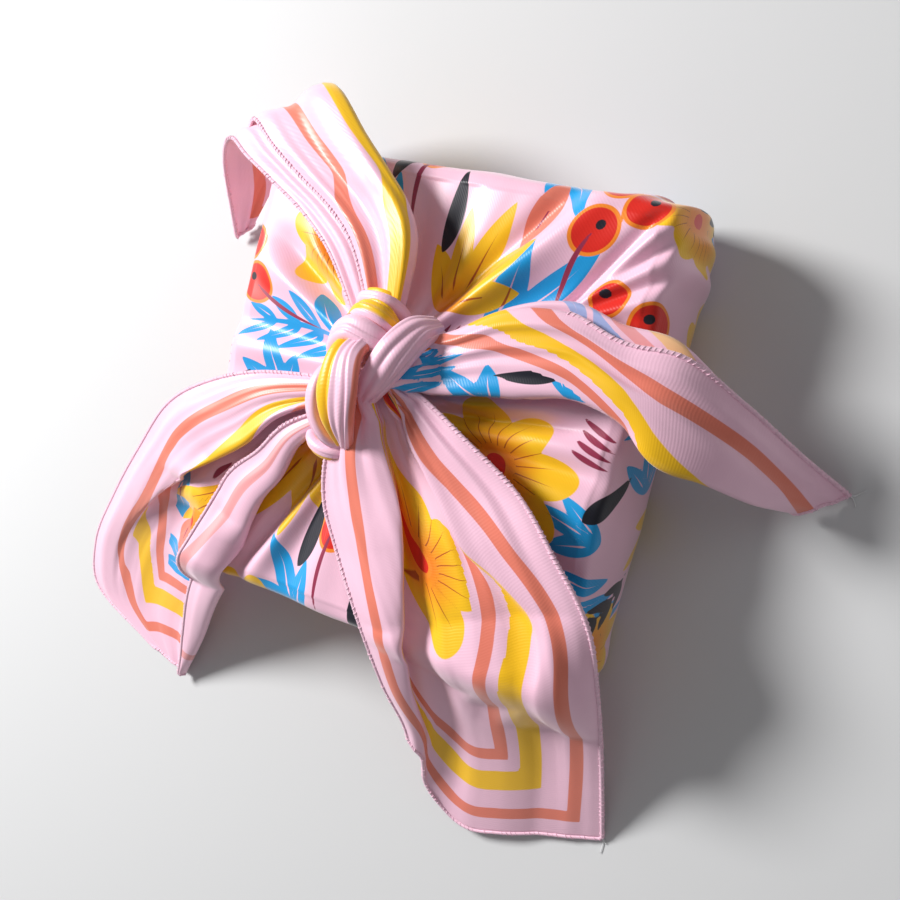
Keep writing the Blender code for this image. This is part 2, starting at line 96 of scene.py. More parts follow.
def stepLengths(grid, axis):
    # how far each point of a grid is from the first one, measured along the grid
    steps = np.linalg.norm(np.diff(grid, axis=axis), axis=-1)
    start = np.zeros_like(np.take(steps, [0], axis=axis))
    return np.concatenate([start, np.cumsum(steps, axis=axis)], axis=axis)


def gridFaces(columns, rows, closed=False):
    # quads of a grid whose points are listed column by column
    column = np.arange(columns if closed else columns - 1)[:, None]
    row = np.arange(rows - 1)[None, :]
    beside = (column + 1) % columns
    corners = [column * rows + row, column * rows + row + 1, beside * rows + row + 1, beside * rows + row]
    spread = [np.broadcast_to(corner, (len(column), rows - 1)) for corner in corners]
    return np.stack(spread, axis=-1).reshape(-1, 4)


def tubeFaces(sides, rings):
    # a closed grid and the two faces that end it
    near = [side * rings for side in range(sides)]
    far = [side * rings + rings - 1 for side in reversed(range(sides))]
    return gridFaces(sides, rings, closed=True).tolist() + [near, far]


def placed(name, data):
    made = bpy.data.objects.new(name, data)
    bpy.context.scene.collection.objects.link(made)
    return made


def newPiece(name, points, faces, attributes=None):
    mesh = bpy.data.meshes.new(name)
    mesh.from_pydata((np.asarray(points).reshape(-1, 3) * mm).tolist(), [], [list(face) for face in faces])
    for title, values in (attributes or {}).items():
        layer = mesh.attributes.new(title, 'FLOAT', 'POINT')
        layer.data.foreach_set("value", np.asarray(values, np.float32).ravel())
    mesh.shade_smooth()
    return placed(name, mesh)


def applyModifiers(piece):
    # the evaluated mesh takes the place of the piece's own
    graph = bpy.context.evaluated_depsgraph_get()
    piece.data = bpy.data.meshes.new_from_object(piece.evaluated_get(graph))
    piece.modifiers.clear()


# the print: a generic floral design, in millimetres of cloth, that repeats over the scarf

printLook = {
    "stripeStarts": (8.2, 24.2, 40.8), "stripeEnds": (13.6, 34.0, 46.4),
    "stripeInks": ("salmon", "yellow", "salmon"), "stripeEdge": 0.25, "rampSpan": 60.0,
    "printFrom": 50.5, "printEdge": 0.3, "inkEdge": 0.15, "repeat": (236.0, 212.0),
    "pastBorder": 1000.0,      # a distance from the hem that has no border stripe
    "clear": 40.0,             # a distance from a motif that has no ink
    "ribMargin": 2.5,          # ribs are kept this far past a motif's edge
}
motifColumns = ("kind", "x", "y", "turn", "size")
motifs = table(motifColumns, [
    ("berries", 84, 88, 12, 9.5), ("fan", 24, 52, 70, 52), ("blueLeaf", 50, 40, 34, 58),
    ("darkLeaf", 6, 78, 76, 34), ("leaf", 50, 80, 66, 34), ("daisy", 126, 106, 0, 25),
    ("dashes", 34, 30, 60, 15), ("daisy", 76, -32, 8, 37), ("fern", 100, -64, -52, 62),
    ("blueLeaf", 58, -84, -72, 42), ("darkLeaf", 116, -42, 40, 30), ("dashes", 106, -12, -30, 17),
    ("fern", -46, 14, 172, 68), ("daisy", -64, 64, 20, 31), ("berries", -108, 30, 90, 10),
    ("blueLeaf", -30, 76, 112, 42), ("blueLeaf", -82, -30, 104, 40), ("leaf", -30, 40, 128, 32),
    ("fan", -44, -50, 236, 58), ("berries", -16, -92, 20, 9), ("sprig", -84, -76, 215, 36),
    ("blueLeaf", -8, -40, 262, 40), ("darkLeaf", -34, -112, 70, 34), ("blueLeaf", -112, -50, 160, 36),
])
layers = ("blue", "yellow", "salmon", "red", "navy", "maroon", "glow")
daisyLook = {"petals": 7, "lengths": (1.0, 0.9, 0.97, 0.86), "width": 0.56, "start": 0.06, "veins": 21.0,
             "rim": 0.18, "eye": 0.14}
ribLook = {"footBare": 0.22, "footFade": 6.0, "edgeShare": 0.7, "edgeLeast": 0.3, "spread": 1.6}


def blade(x, y, length, width, fullness=0.85):
    # signed distance to a leaf that starts at the origin and points along x
    share = np.clip(x / length, 0.0, 1.0)
    half = width / 2 * np.sin(math.pi * share ** fullness) ** 0.8
    return np.maximum((np.abs(y) - half) * 0.9, np.maximum(-x, x - length))


def oval(x, y, length, width):
    # signed distance to a round-ended petal that starts at the origin and points along x
    share = np.hypot((x - length / 2) / (length / 2), y / (width / 2))
    return (share - 1.0) * width / 2


def turned(x, y, degrees):
    angle = math.radians(degrees)
    return x * math.cos(angle) + y * math.sin(angle), y * math.cos(angle) - x * math.sin(angle)


def paint(found, layer, distance, ribs=0.0, reach=1.0):
    # a rib line shows where ribs is near a half; it is widest where reach is 0
    nearer = distance < found[layer]
    found[layer] = np.where(nearer, distance, found[layer])
    owned = nearer & (distance < printLook["ribMargin"])
    found["ribs"] = np.where(owned, ribs, found["ribs"])
    found["reach"] = np.where(owned, reach, found["reach"])


def leafBlade(found, layer, x, y, length, width, fullness=0.85):
    distance = blade(x, y, length, width, fullness)
    half = np.maximum(np.abs(y) - distance / 0.9, 0.0)        # the leaf's own half width there
    nearEdge = np.abs(y) / (ribLook["edgeShare"] * half + ribLook["edgeLeast"])
    nearFoot = 1.0 - ribLook["footFade"] * (x / length - ribLook["footBare"])
    reach = np.maximum(np.maximum(x / length + 0.1, nearEdge), nearFoot)
    ribs = np.clip(0.5 + ribLook["spread"] * y / width, 0.05, 0.95)
    paint(found, layer, distance, ribs, np.clip(reach, 0.0, 1.0))


def daisy(found, x, y, size):
    # broad round petals round a small eye, with veins that run out from it
    look = daisyLook
    veins = np.arctan2(y, x) * look["veins"] / (2 * math.pi)
    reach = np.clip(np.hypot(x, y) / size + 0.12, 0.0, 1.0)
    for petal in range(look["petals"]):
        px, py = turned(x, y, petal * 360.0 / look["petals"])
        long = size * look["lengths"][petal % len(look["lengths"])]
        shape = oval(px - size * look["start"], py, long * (1.0 - look["start"]), size * look["width"])
        paint(found, "yellow", shape, veins, reach)
    paint(found, "glow", np.hypot(x, y) - size * look["rim"])
    paint(found, "red", np.hypot(x, y) - size * look["eye"])


def fern(found, x, y, size):
    # a curved stem with smooth leaflets set apart in pairs
    y = y - 0.0035 * x * x
    paint(found, "blue", blade(x, y, size, 3.2))
    for pair in range(4):
        start = size * (0.08 + 0.21 * pair)
        long = size * (0.46 - 0.06 * pair)
        for side in (-1, 1):
            px, py = turned(x - start, y, side * (44 - 4 * pair))
            leafBlade(found, "blue", px, py, long, long * 0.30, 0.9)


def spray(found, ink, x, y, leaves, size, width, bend=0.0, fullness=0.9):
    # leaves spread from one foot, each with its angle and its share of the size
    for angle, share in leaves:
        px, py = turned(x, y, angle)
        leafBlade(found, ink, px, py - bend * px * px, size * share, size * width, fullness)


def fan(found, x, y, size):
    spray(found, "yellow", x, y, ((-58, 0.72), (-29, 0.9), (0, 1.0), (29, 0.88), (58, 0.7)), size, 0.27,
          fullness=1.05)
    paint(found, "glow", np.hypot(x, y) - size * 0.05)


def berries(found, x, y, size):
    # round berries with a dark dot, above one bent stalk
    for berry, (offX, offY) in enumerate(((0, 0), (2.1, 0.8), (0.9, 2.2), (3.0, 2.7))):
        away = np.hypot(x - offX * size, (y - offY * size) * (1.0 + 0.06 * berry))
        paint(found, "red", away - size * (0.96 - 0.07 * berry))
        paint(found, "navy", np.hypot(x - (offX + 0.25) * size, y - (offY + 0.2) * size) - size * 0.22)
    px, py = turned(x, y, 230)
    paint(found, "maroon", blade(px, py - 0.01 * px * px, size * 4.2, 2.6))


def sprig(found, x, y, size):
    y = y + 0.004 * x * x
    paint(found, "navy", blade(x, y, size, 2.2))
    for leafPair in range(3):
        for side in (-1, 1):
            px, py = turned(x - size * (0.2 + 0.26 * leafPair), y, side * 40)
            paint(found, "navy", blade(px, py, size * 0.42, size * 0.15))


def leaf(found, x, y, size):
    spray(found, "salmon", x, y, ((0, 1.0),), size, 0.40, 0.003)


def blueLeaf(found, x, y, size):
    spray(found, "blue", x, y, ((0, 1.0), (34, 0.74), (-30, 0.66)), size, 0.26, 0.004)


def darkLeaf(found, x, y, size):
    paint(found, "navy", blade(x, y - 0.006 * x * x, size, size * 0.30, 0.8))


def dashes(found, x, y, size):
    for dash in range(4):
        paint(found, "maroon", blade(x + dash * 2.5, y - dash * 4.6 - 0.012 * x * x, size, 2.9))


drawMotif = {"daisy": daisy, "fern": fern, "fan": fan, "berries": berries, "sprig": sprig, "leaf": leaf,
             "blueLeaf": blueLeaf, "darkLeaf": darkLeaf, "dashes": dashes}


def printedOn(x, y):
    # signed distance from each point of cloth to each colour's shapes
    found = {layer: np.full(np.shape(x), printLook["clear"]) for layer in layers}
    found.update(ribs=np.zeros(np.shape(x)), reach=np.ones(np.shape(x)))
    wide, high = printLook["repeat"]
    for kind, atX, atY, turn, size in zip(*(motifs[name] for name in motifColumns)):
        nearX = (x - atX + wide / 2) % wide - wide / 2
        nearY = (y - atY + high / 2) % high - high / 2
        px, py = turned(nearX, nearY, float(turn))
        drawMotif[str(kind)](found, px, py, float(size))
    return found


def softened(values, axis, passes):
    # each value moves towards its neighbours along one axis
    for _ in range(passes):
        padded = np.concatenate([values.take([0], axis), values, values.take([-1], axis)], axis)
        count = padded.shape[axis]
        values = (padded.take(range(count - 2), axis) + 2.0 * padded.take(range(1, count - 1), axis)
                  + padded.take(range(2, count), axis)) / 4.0
    return values


def growth(values, grid):
    # how much a value grows for each millimetre of the surface
    a, b = np.gradient(grid, axis=0), np.gradient(grid, axis=1)
    valueA, valueB = np.gradient(values, axis=0), np.gradient(values, axis=1)
    aa, ab, bb = (np.sum(p * q, axis=-1) for p, q in ((a, a), (a, b), (b, b)))
    area = np.maximum(aa * bb - ab ** 2, 1e-6)
    found = np.sqrt(np.maximum((valueA ** 2 * bb - 2 * valueA * valueB * ab + valueB ** 2 * aa) / area, 1e-6))
    return softened(softened(np.clip(found, 0.5, 1.25), 1, 60), 0, 3)


def evenStripes(distance, grid):
    # keeps each border stripe at its own width where the cloth is gathered or spread
    stretch = growth(distance, grid)
    centres = (np.array(printLook["stripeStarts"]) + np.array(printLook["stripeEnds"])) / 2
    bounds = [0.0, *((centres[1:] + centres[:-1]) / 2), printLook["printFrom"]]
    even = distance
    for centre, low, high in zip(centres, bounds[:-1], bounds[1:]):
        moved = np.clip(centre + (distance - centre) / stretch, low, high - 0.1)
        even = np.where((distance >= low) & (distance < high), moved, even)
    return even


# materials

def linear(hexColour):
    # sRGB hex to linear
    values = [int(hexColour[place:place + 2], 16) / 255 for place in (1, 3, 5)]
    return tuple(v / 12.92 if v <= 0.04045 else ((v + 0.055) / 1.055) ** 2.4 for v in values) + (1.0,)


def fillInputs(tree, node, values):
    # each value is a number, a colour or the output of another node
    for socket, value in values.items():
        if isinstance(value, bpy.types.NodeSocket):
            tree.links.new(value, node.inputs[socket])
        else:
            node.inputs[socket].default_value = value


def addNode(tree, kind, values=None, **settings):
    node = tree.nodes.new(kind)
    for name, value in settings.items():
        setattr(node, name, value)
    fillInputs(tree, node, values or {})
    return node


def newMaterial(name):
    material = bpy.data.materials.new(name)
    material.use_nodes = True
    return material, material.node_tree, material.node_tree.nodes["Principled BSDF"]


satinLook = {
    "ground": "#F4C3D7", "salmon": "#E67C66", "yellow": "#F7BF0C", "blue": "#0C9CDD",
    "red": "#DE1E0B", "rim": "#F78A1E", "navy": "#0D0C1E", "maroon": "#96284A", "amber": "#B4540A",
    "glow": "#F5820F", "glowReach": 15.0, "ribWidth": 0.17, "ribEdge": 0.03, "twillPitch": 0.85,
    "twillDepth": 0.035, "cloudScale": 30.0, "cloudShade": (0.96, 1.03), "sheenRoughness": 0.45,
}
inks = [        # layer, ink, ink of its ribs, how far it stands out past its layer
    ("blue", "blue", "ground", 0.0), ("yellow", "yellow", "amber", 0.0), ("salmon", "salmon", "maroon", 0.0),
    ("red", "rim", "rim", 1.6), ("red", "red", "red", 0.0), ("navy", "navy", "navy", 0.0),
    ("maroon", "maroon", "maroon", 0.0),
]


def printedSatin(name, fade, roughness, sheen):
    # Printed polyester satin, woven: a soft broad gloss over clear flat ink, with a fine twill line.
    # Its reverse is the same print, paler and more matt. The twill is about 0.3 mm in the real
    # cloth and is drawn at 0.85 mm so that it shows.
    look = satinLook
    material, tree, shader = newMaterial(name)

    def measured(layer):
        return addNode(tree, "ShaderNodeAttribute", attribute_name=layer).outputs["Fac"]

    def mapped(*values):        # value, its low and high ends, and what they become
        return addNode(tree, "ShaderNodeMapRange", dict(enumerate(values))).outputs[0]

    def worked(operation, *values):
        return addNode(tree, "ShaderNodeMath", dict(enumerate(values)), operation=operation).outputs[0]

    def mixed(weight, first, second):
        return addNode(tree, "ShaderNodeMix", {0: weight, 6: first, 7: second}, data_type='RGBA').outputs[2]

    # the border's stripes, by distance from the hem
    fromHem = measured("fromHem")
    span, edge = printLook["rampSpan"], printLook["stripeEdge"]
    ramp = addNode(tree, "ShaderNodeValToRGB", {"Fac": worked('DIVIDE', fromHem, span)})
    stops = [(0.0, "ground")]
    for start, end, ink in zip(*(printLook[part] for part in ("stripeStarts", "stripeEnds", "stripeInks"))):
        stops += [(start, "ground"), (start + edge, ink), (end, ink), (end + edge, "ground")]
    elements = ramp.color_ramp.elements
    elements.remove(elements[1])
    for place, (distance, ink) in enumerate(stops):
        element = elements[0] if place == 0 else elements.new(distance / span)
        element.position = distance / span
        element.color = linear(look[ink])
    colour = ramp.outputs["Color"]

    # the motifs, each ink with its ribs, inside the border
    inside = mapped(fromHem, printLook["printFrom"], printLook["printFrom"] + printLook["printEdge"])
    glow = mapped(measured("glow"), 0.0, look["glowReach"])
    petal = mixed(glow, linear(look["glow"]), linear(look["yellow"]))
    offRib = worked('ABSOLUTE', worked('SUBTRACT', worked('FRACT', measured("ribs")), 0.5))
    ribWidth = mapped(measured("reach"), 0.0, 0.9, look["ribWidth"], 0.0)
    ribbed = mapped(worked('SUBTRACT', ribWidth, offRib), 0.0, look["ribEdge"])
    soft = printLook["inkEdge"]
    for layer, ink, rib, grow in inks:
        printed = worked('MULTIPLY', mapped(measured(layer), grow + soft, grow - soft), inside)
        plain = petal if ink == "yellow" else linear(look[ink])
        colour = mixed(printed, colour, mixed(ribbed, plain, linear(look[rib])))
    if fade:
        colour = mixed(fade, colour, linear(look["ground"]))

    # slightly uneven dye, and the twill
    place = addNode(tree, "ShaderNodeTexCoord").outputs["Object"]
    cloud = addNode(tree, "ShaderNodeTexNoise", {"Vector": place, "Scale": look["cloudScale"], "Detail": 3.0})
    shade = mapped(cloud.outputs["Fac"], 0.3, 0.7, *look["cloudShade"])
    tinted = addNode(tree, "ShaderNodeVectorMath", {0: colour, 1: shade}, operation='MULTIPLY')
    cloth = addNode(tree, "ShaderNodeCombineXYZ", {0: measured("clothX"), 1: measured("clothY")})
    twill = addNode(tree, "ShaderNodeTexWave",
                    {"Vector": cloth.outputs[0], "Scale": 1.0 / look["twillPitch"] / 3.0, "Distortion": 0.4},
                    wave_type='BANDS', bands_direction='DIAGONAL')
    bump = addNode(tree, "ShaderNodeBump",
                   {"Strength": 0.6, "Distance": look["twillDepth"] * mm, "Height": twill.outputs["Fac"]})
    fillInputs(tree, shader, {"Base Color": tinted.outputs[0], "Normal": bump.outputs[0],
                              "Roughness": roughness, "Sheen Weight": sheen,
                              "Sheen Roughness": look["sheenRoughness"]})
    return material


threadLook = {"colour": "#F5C6D9", "darkest": 0.86, "fuzzScale": 900.0, "fuzzDepth": 0.1}


def hemThread(name):
    # Polyester overlock thread: matt, slightly fuzzy, about the ground's pink.
    look = threadLook
    material, tree, shader = newMaterial(name)
    place = addNode(tree, "ShaderNodeTexCoord").outputs["Object"]
    fuzz = addNode(tree, "ShaderNodeTexNoise", {"Vector": place, "Scale": look["fuzzScale"], "Detail": 2.0})
    ramp = addNode(tree, "ShaderNodeValToRGB", {"Fac": fuzz.outputs["Fac"]})
    base = linear(look["colour"])
    for element, position, share in zip(ramp.color_ramp.elements, (0.3, 0.7), (look["darkest"], 1.0)):
        element.position = position
        element.color = tuple(share * c for c in base[:3]) + (1.0,)
    bump = addNode(tree, "ShaderNodeBump",
                   {"Strength": 0.4, "Distance": look["fuzzDepth"] * mm, "Height": fuzz.outputs["Fac"]})
    fillInputs(tree, shader, {"Base Color": ramp.outputs["Color"], "Normal": bump.outputs[0],
                              "Roughness": 0.62, "Sheen Weight": 0.4})
    return material


satinFace = printedSatin("printed satin", fade=0.0, roughness=0.38, sheen=0.3)
satinBack = printedSatin("printed satin reverse", fade=0.38, roughness=0.5, sheen=0.3)
pinkThread = hemThread("overlock thread")
print("materials made")


# the parcel: taut satin over the flat parcel, with folds drawn in to the knot

parcel = {"side": 190.0, "height": 52.0, "squareness": 18.0, "knot": (-3.0, 9.0), "moundHeight": 17.0,
          "moundRadius": 25.0, "moundPower": 2.6, "foldLevel": 40.0, "clothAtKnot": 24.0,
          "spokes": 720, "topRings": 92, "sideRings": 40, "ringFrom": 0.03, "ringPower": 1.1,
          "pleats": 90, "pleatWidth": (2.0, 5.5), "pleatReach": (26, 96), "pleatRise": (0.4, 1.3),
          "pleatDrift": (-0.05, 0.05), "pleatStart": 16.0}
sideProfile = table(("inset", "height"), [
    (7.0, 52.0), (2.3, 50.0), (0.2, 45.0), (-1.6, 26.0), (0.8, 8.0), (5.5, 0.0),
])
faceFolds = table(("name", "near x", "near y", "far x", "far y", "width", "height", "crease"), [
    ("back ridge", -11, 34, -27, 96, 9.0, 3.4, 3.0),
    ("taut roll", 13, 34, 66, 94, 8.0, 4.8, 3.8),
    ("corner swell", 24, 49, 92, 94, 11.0, 2.4, -1.0),
    ("corner pleat", 62, 49, 93, 88, 4.0, 3.2, 2.6),
    ("edge pleat", 60, 46, 99, 78, 4.0, 3.0, 2.4),
    ("low pleat", 58, 42, 102, 64, 4.5, 2.6, 2.0),
    ("cord ridge", 22, 4, 72, 14, 4.6, 4.4, -2.8),
    ("petal ridge", 24, -4, 88, 0, 6.0, 3.0, -2.0),
    ("broad ridge", 30, -8, 98, -21, 9.0, 4.2, -2.6),
    ("broad roll", 32, -14, 99, -36, 9.0, 3.8, -3.0),
    ("front tube", -19, -28, -54, -94, 6.0, 4.6, -4.0),
    ("front hollow", -12, -30, -20, -96, 10.0, 2.2, -1.2),
    ("left swell", -36, -24, -96, -58, 12.0, 2.8, -1.6),
    ("left ridge", -38, 6, -96, 4, 8.0, 2.6, -2.0),
    ("taper ridge", -31, 18, -82, 42, 7.5, 5.4, -4.0),
    ("short ridge", -24, 27, -64, 56, 7.0, 4.6, -3.6),
    ("back corner swell", -20, 40, -92, 92, 12.0, 3.0, -1.4),
])
sideFolds = table(("direction", "spread", "proud"), [
    (12, 5, 1.4), (36, 2.0, 2.6), (41, 1.1, 1.3), (46, 1.5, 2.1), (52, 1.9, 2.4), (84, 7, 1.2),
    (128, 2.2, 2.2), (136, 1.3, 1.5), (142, 2.0, 2.0), (176, 8, 1.4), (219, 2.2, 2.3), (226, 1.3, 1.4),
    (233, 2.1, 1.8), (262, 7, 1.2), (308, 2.2, 2.2), (315, 1.2, 1.5), (321, 2.0, 2.0), (345, 6, 1.0),
])


def eased(value):
    # rises smoothly from 0 to 1, through a half at zero
    return 1.0 / (1.0 + np.exp(-value))


def faceHeight(x, y):
    # the face's mound and folds; a crease is a trough beside its fold, on the side of its sign
    fromKnot = np.hypot(x - parcel["knot"][0], y - parcel["knot"][1])
    height = parcel["moundHeight"] * np.exp(-(fromKnot / parcel["moundRadius"]) ** parcel["moundPower"])
    folds = faceFolds
    for fold in range(len(folds["name"])):
        offX, offY = x - folds["near x"][fold], y - folds["near y"][fold]
        runX = folds["far x"][fold] - folds["near x"][fold]
        runY = folds["far y"][fold] - folds["near y"][fold]
        length = math.hypot(runX, runY)
        along = (offX * runX + offY * runY) / length ** 2
        aside = (offY * runX - offX * runY) / length
        spread = folds["width"][fold] * (0.6 + 0.4 * np.clip(along, 0.0, 1.0))
        ends = eased(14.0 * (along + 0.02)) * eased(-11.0 * (along - 0.98))
        crease = folds["crease"][fold]
        ridge = folds["height"][fold] * np.exp(-(aside / spread) ** 2)
        trough = abs(crease) * np.exp(-((aside - math.copysign(1.5, crease) * spread) / (0.75 * spread)) ** 2)
        height = height + ends * (ridge - trough)
    return height


def outlineRadius(angle, halfSide):
    # how far the parcel's rounded square lies from the knot in each direction, found by halving
    low, high = np.zeros_like(angle + halfSide), np.full_like(angle + halfSide, 2.0 * parcel["side"])
    for _ in range(40):
        middle = (low + high) / 2
        x, y = aroundKnot(middle, angle)
        power = parcel["squareness"]
        inside = np.abs(x / halfSide) ** power + np.abs(y / halfSide) ** power < 1.0
        low, high = np.where(inside, middle, low), np.where(inside, high, middle)
    return low


def sideStand(x, y, height):
    # how far the folds down the sides stand out
    direction = np.degrees(np.arctan2(y, x)) % 360.0
    swell = 0.0
    for centre, spread, proud in zip(sideFolds["direction"], sideFolds["spread"], sideFolds["proud"]):
        away = np.abs((direction - centre + 180.0) % 360.0 - 180.0)
        swell = swell + proud * np.exp(-(away / spread) ** 2)
    return swell * np.sin(math.pi * np.clip(height / parcel["height"], 0.0, 1.0)) ** 0.7


def knotPleats(x, y):
    # fine gathers that run out from the knot and fade
    offX, offY = x - parcel["knot"][0], y - parcel["knot"][1]
    distance, angle = np.hypot(offX, offY), np.degrees(np.arctan2(offY, offX))
    height = 0.0
    for _ in range(parcel["pleats"]):
        middle, width = random.uniform(0, 360), random.uniform(*parcel["pleatWidth"])
        reach = random.uniform(*parcel["pleatReach"])
        rise = random.uniform(*parcel["pleatRise"]) * random.choice((1, 1, -1))
        away = (angle - middle - random.uniform(*parcel["pleatDrift"]) * distance + 180.0) % 360.0 - 180.0
        fade = np.clip(distance / parcel["pleatStart"], 0.0, 1.0) * np.exp(-(distance / reach) ** 3)
        height = height + rise * fade * np.exp(-(away / width) ** 2)
    return height


def aroundKnot(radius, angle):
    return parcel["knot"][0] + radius * np.cos(angle), parcel["knot"][1] + radius * np.sin(angle)


def makeParcelCover():
    look = parcel
    angle = (2 * math.pi * np.arange(look["spokes"]) / look["spokes"])[:, None]
    half = look["side"] / 2
    topShare = (np.linspace(look["ringFrom"], 1.0, look["topRings"]) ** look["ringPower"])[None, :]
    x, y = aroundKnot(outlineRadius(angle, half - sideProfile["inset"][0]) * topShare, angle)
    top = np.stack([x, y, look["height"] + faceHeight(x, y) + knotPleats(x, y)], axis=-1)
    share = np.linspace(0.0, 1.0, look["sideRings"] + 1)[1:]
    profile = np.stack([sideProfile["inset"], sideProfile["height"]], axis=1)
    profile = curveThrough(profile, share * (len(profile) - 1))
    inset, level = profile[None, :, 0], np.maximum(profile[None, :, 1], 0.0)
    x, y = aroundKnot(outlineRadius(angle, half - inset), angle)
    stand = 1.0 + sideStand(x, y, level) / half
    nearTop = (level - look["foldLevel"]) / (look["height"] - look["foldLevel"])
    rise = level + (faceHeight(x, y) + knotPleats(x, y)) * np.clip(nearTop, 0.0, 1.0)
    sides = np.stack([x * stand, y * stand, rise], axis=-1)
    grid = np.concatenate([top, sides], axis=1)
    rings = grid.shape[1]
    outward = stepLengths(grid, 1) + look["clothAtKnot"]
    clothX, clothY = outward * np.cos(angle), outward * np.sin(angle)
    found = printedOn(clothX, clothY)
    crown = grid[:, 0].mean(axis=0)
    foot = np.array([look["knot"][0], look["knot"][1], 0.0])
    points = np.concatenate([grid.reshape(-1, 3), [crown, foot]])
    faces = gridFaces(look["spokes"], rings, closed=True).tolist()
    for spoke in range(look["spokes"]):
        beside = (spoke + 1) % look["spokes"]
        faces.append((spoke * rings, beside * rings, len(points) - 2))
        faces.append((beside * rings + rings - 1, spoke * rings + rings - 1, len(points) - 1))
    found.update(clothX=clothX, clothY=clothY)
    ends = [printLook["clear"]] * 2           # for the crown and the foot
    attributes = {layer: np.append(values.ravel(), ends) for layer, values in found.items()}
    attributes["fromHem"] = np.full(len(points), printLook["pastBorder"])
    cover = newPiece("parcelCover", points, faces, attributes)
    cover.data.materials.append(satinFace)
    return cover


# the tails: the scarf's four corners, each a thin sheet folded over itself

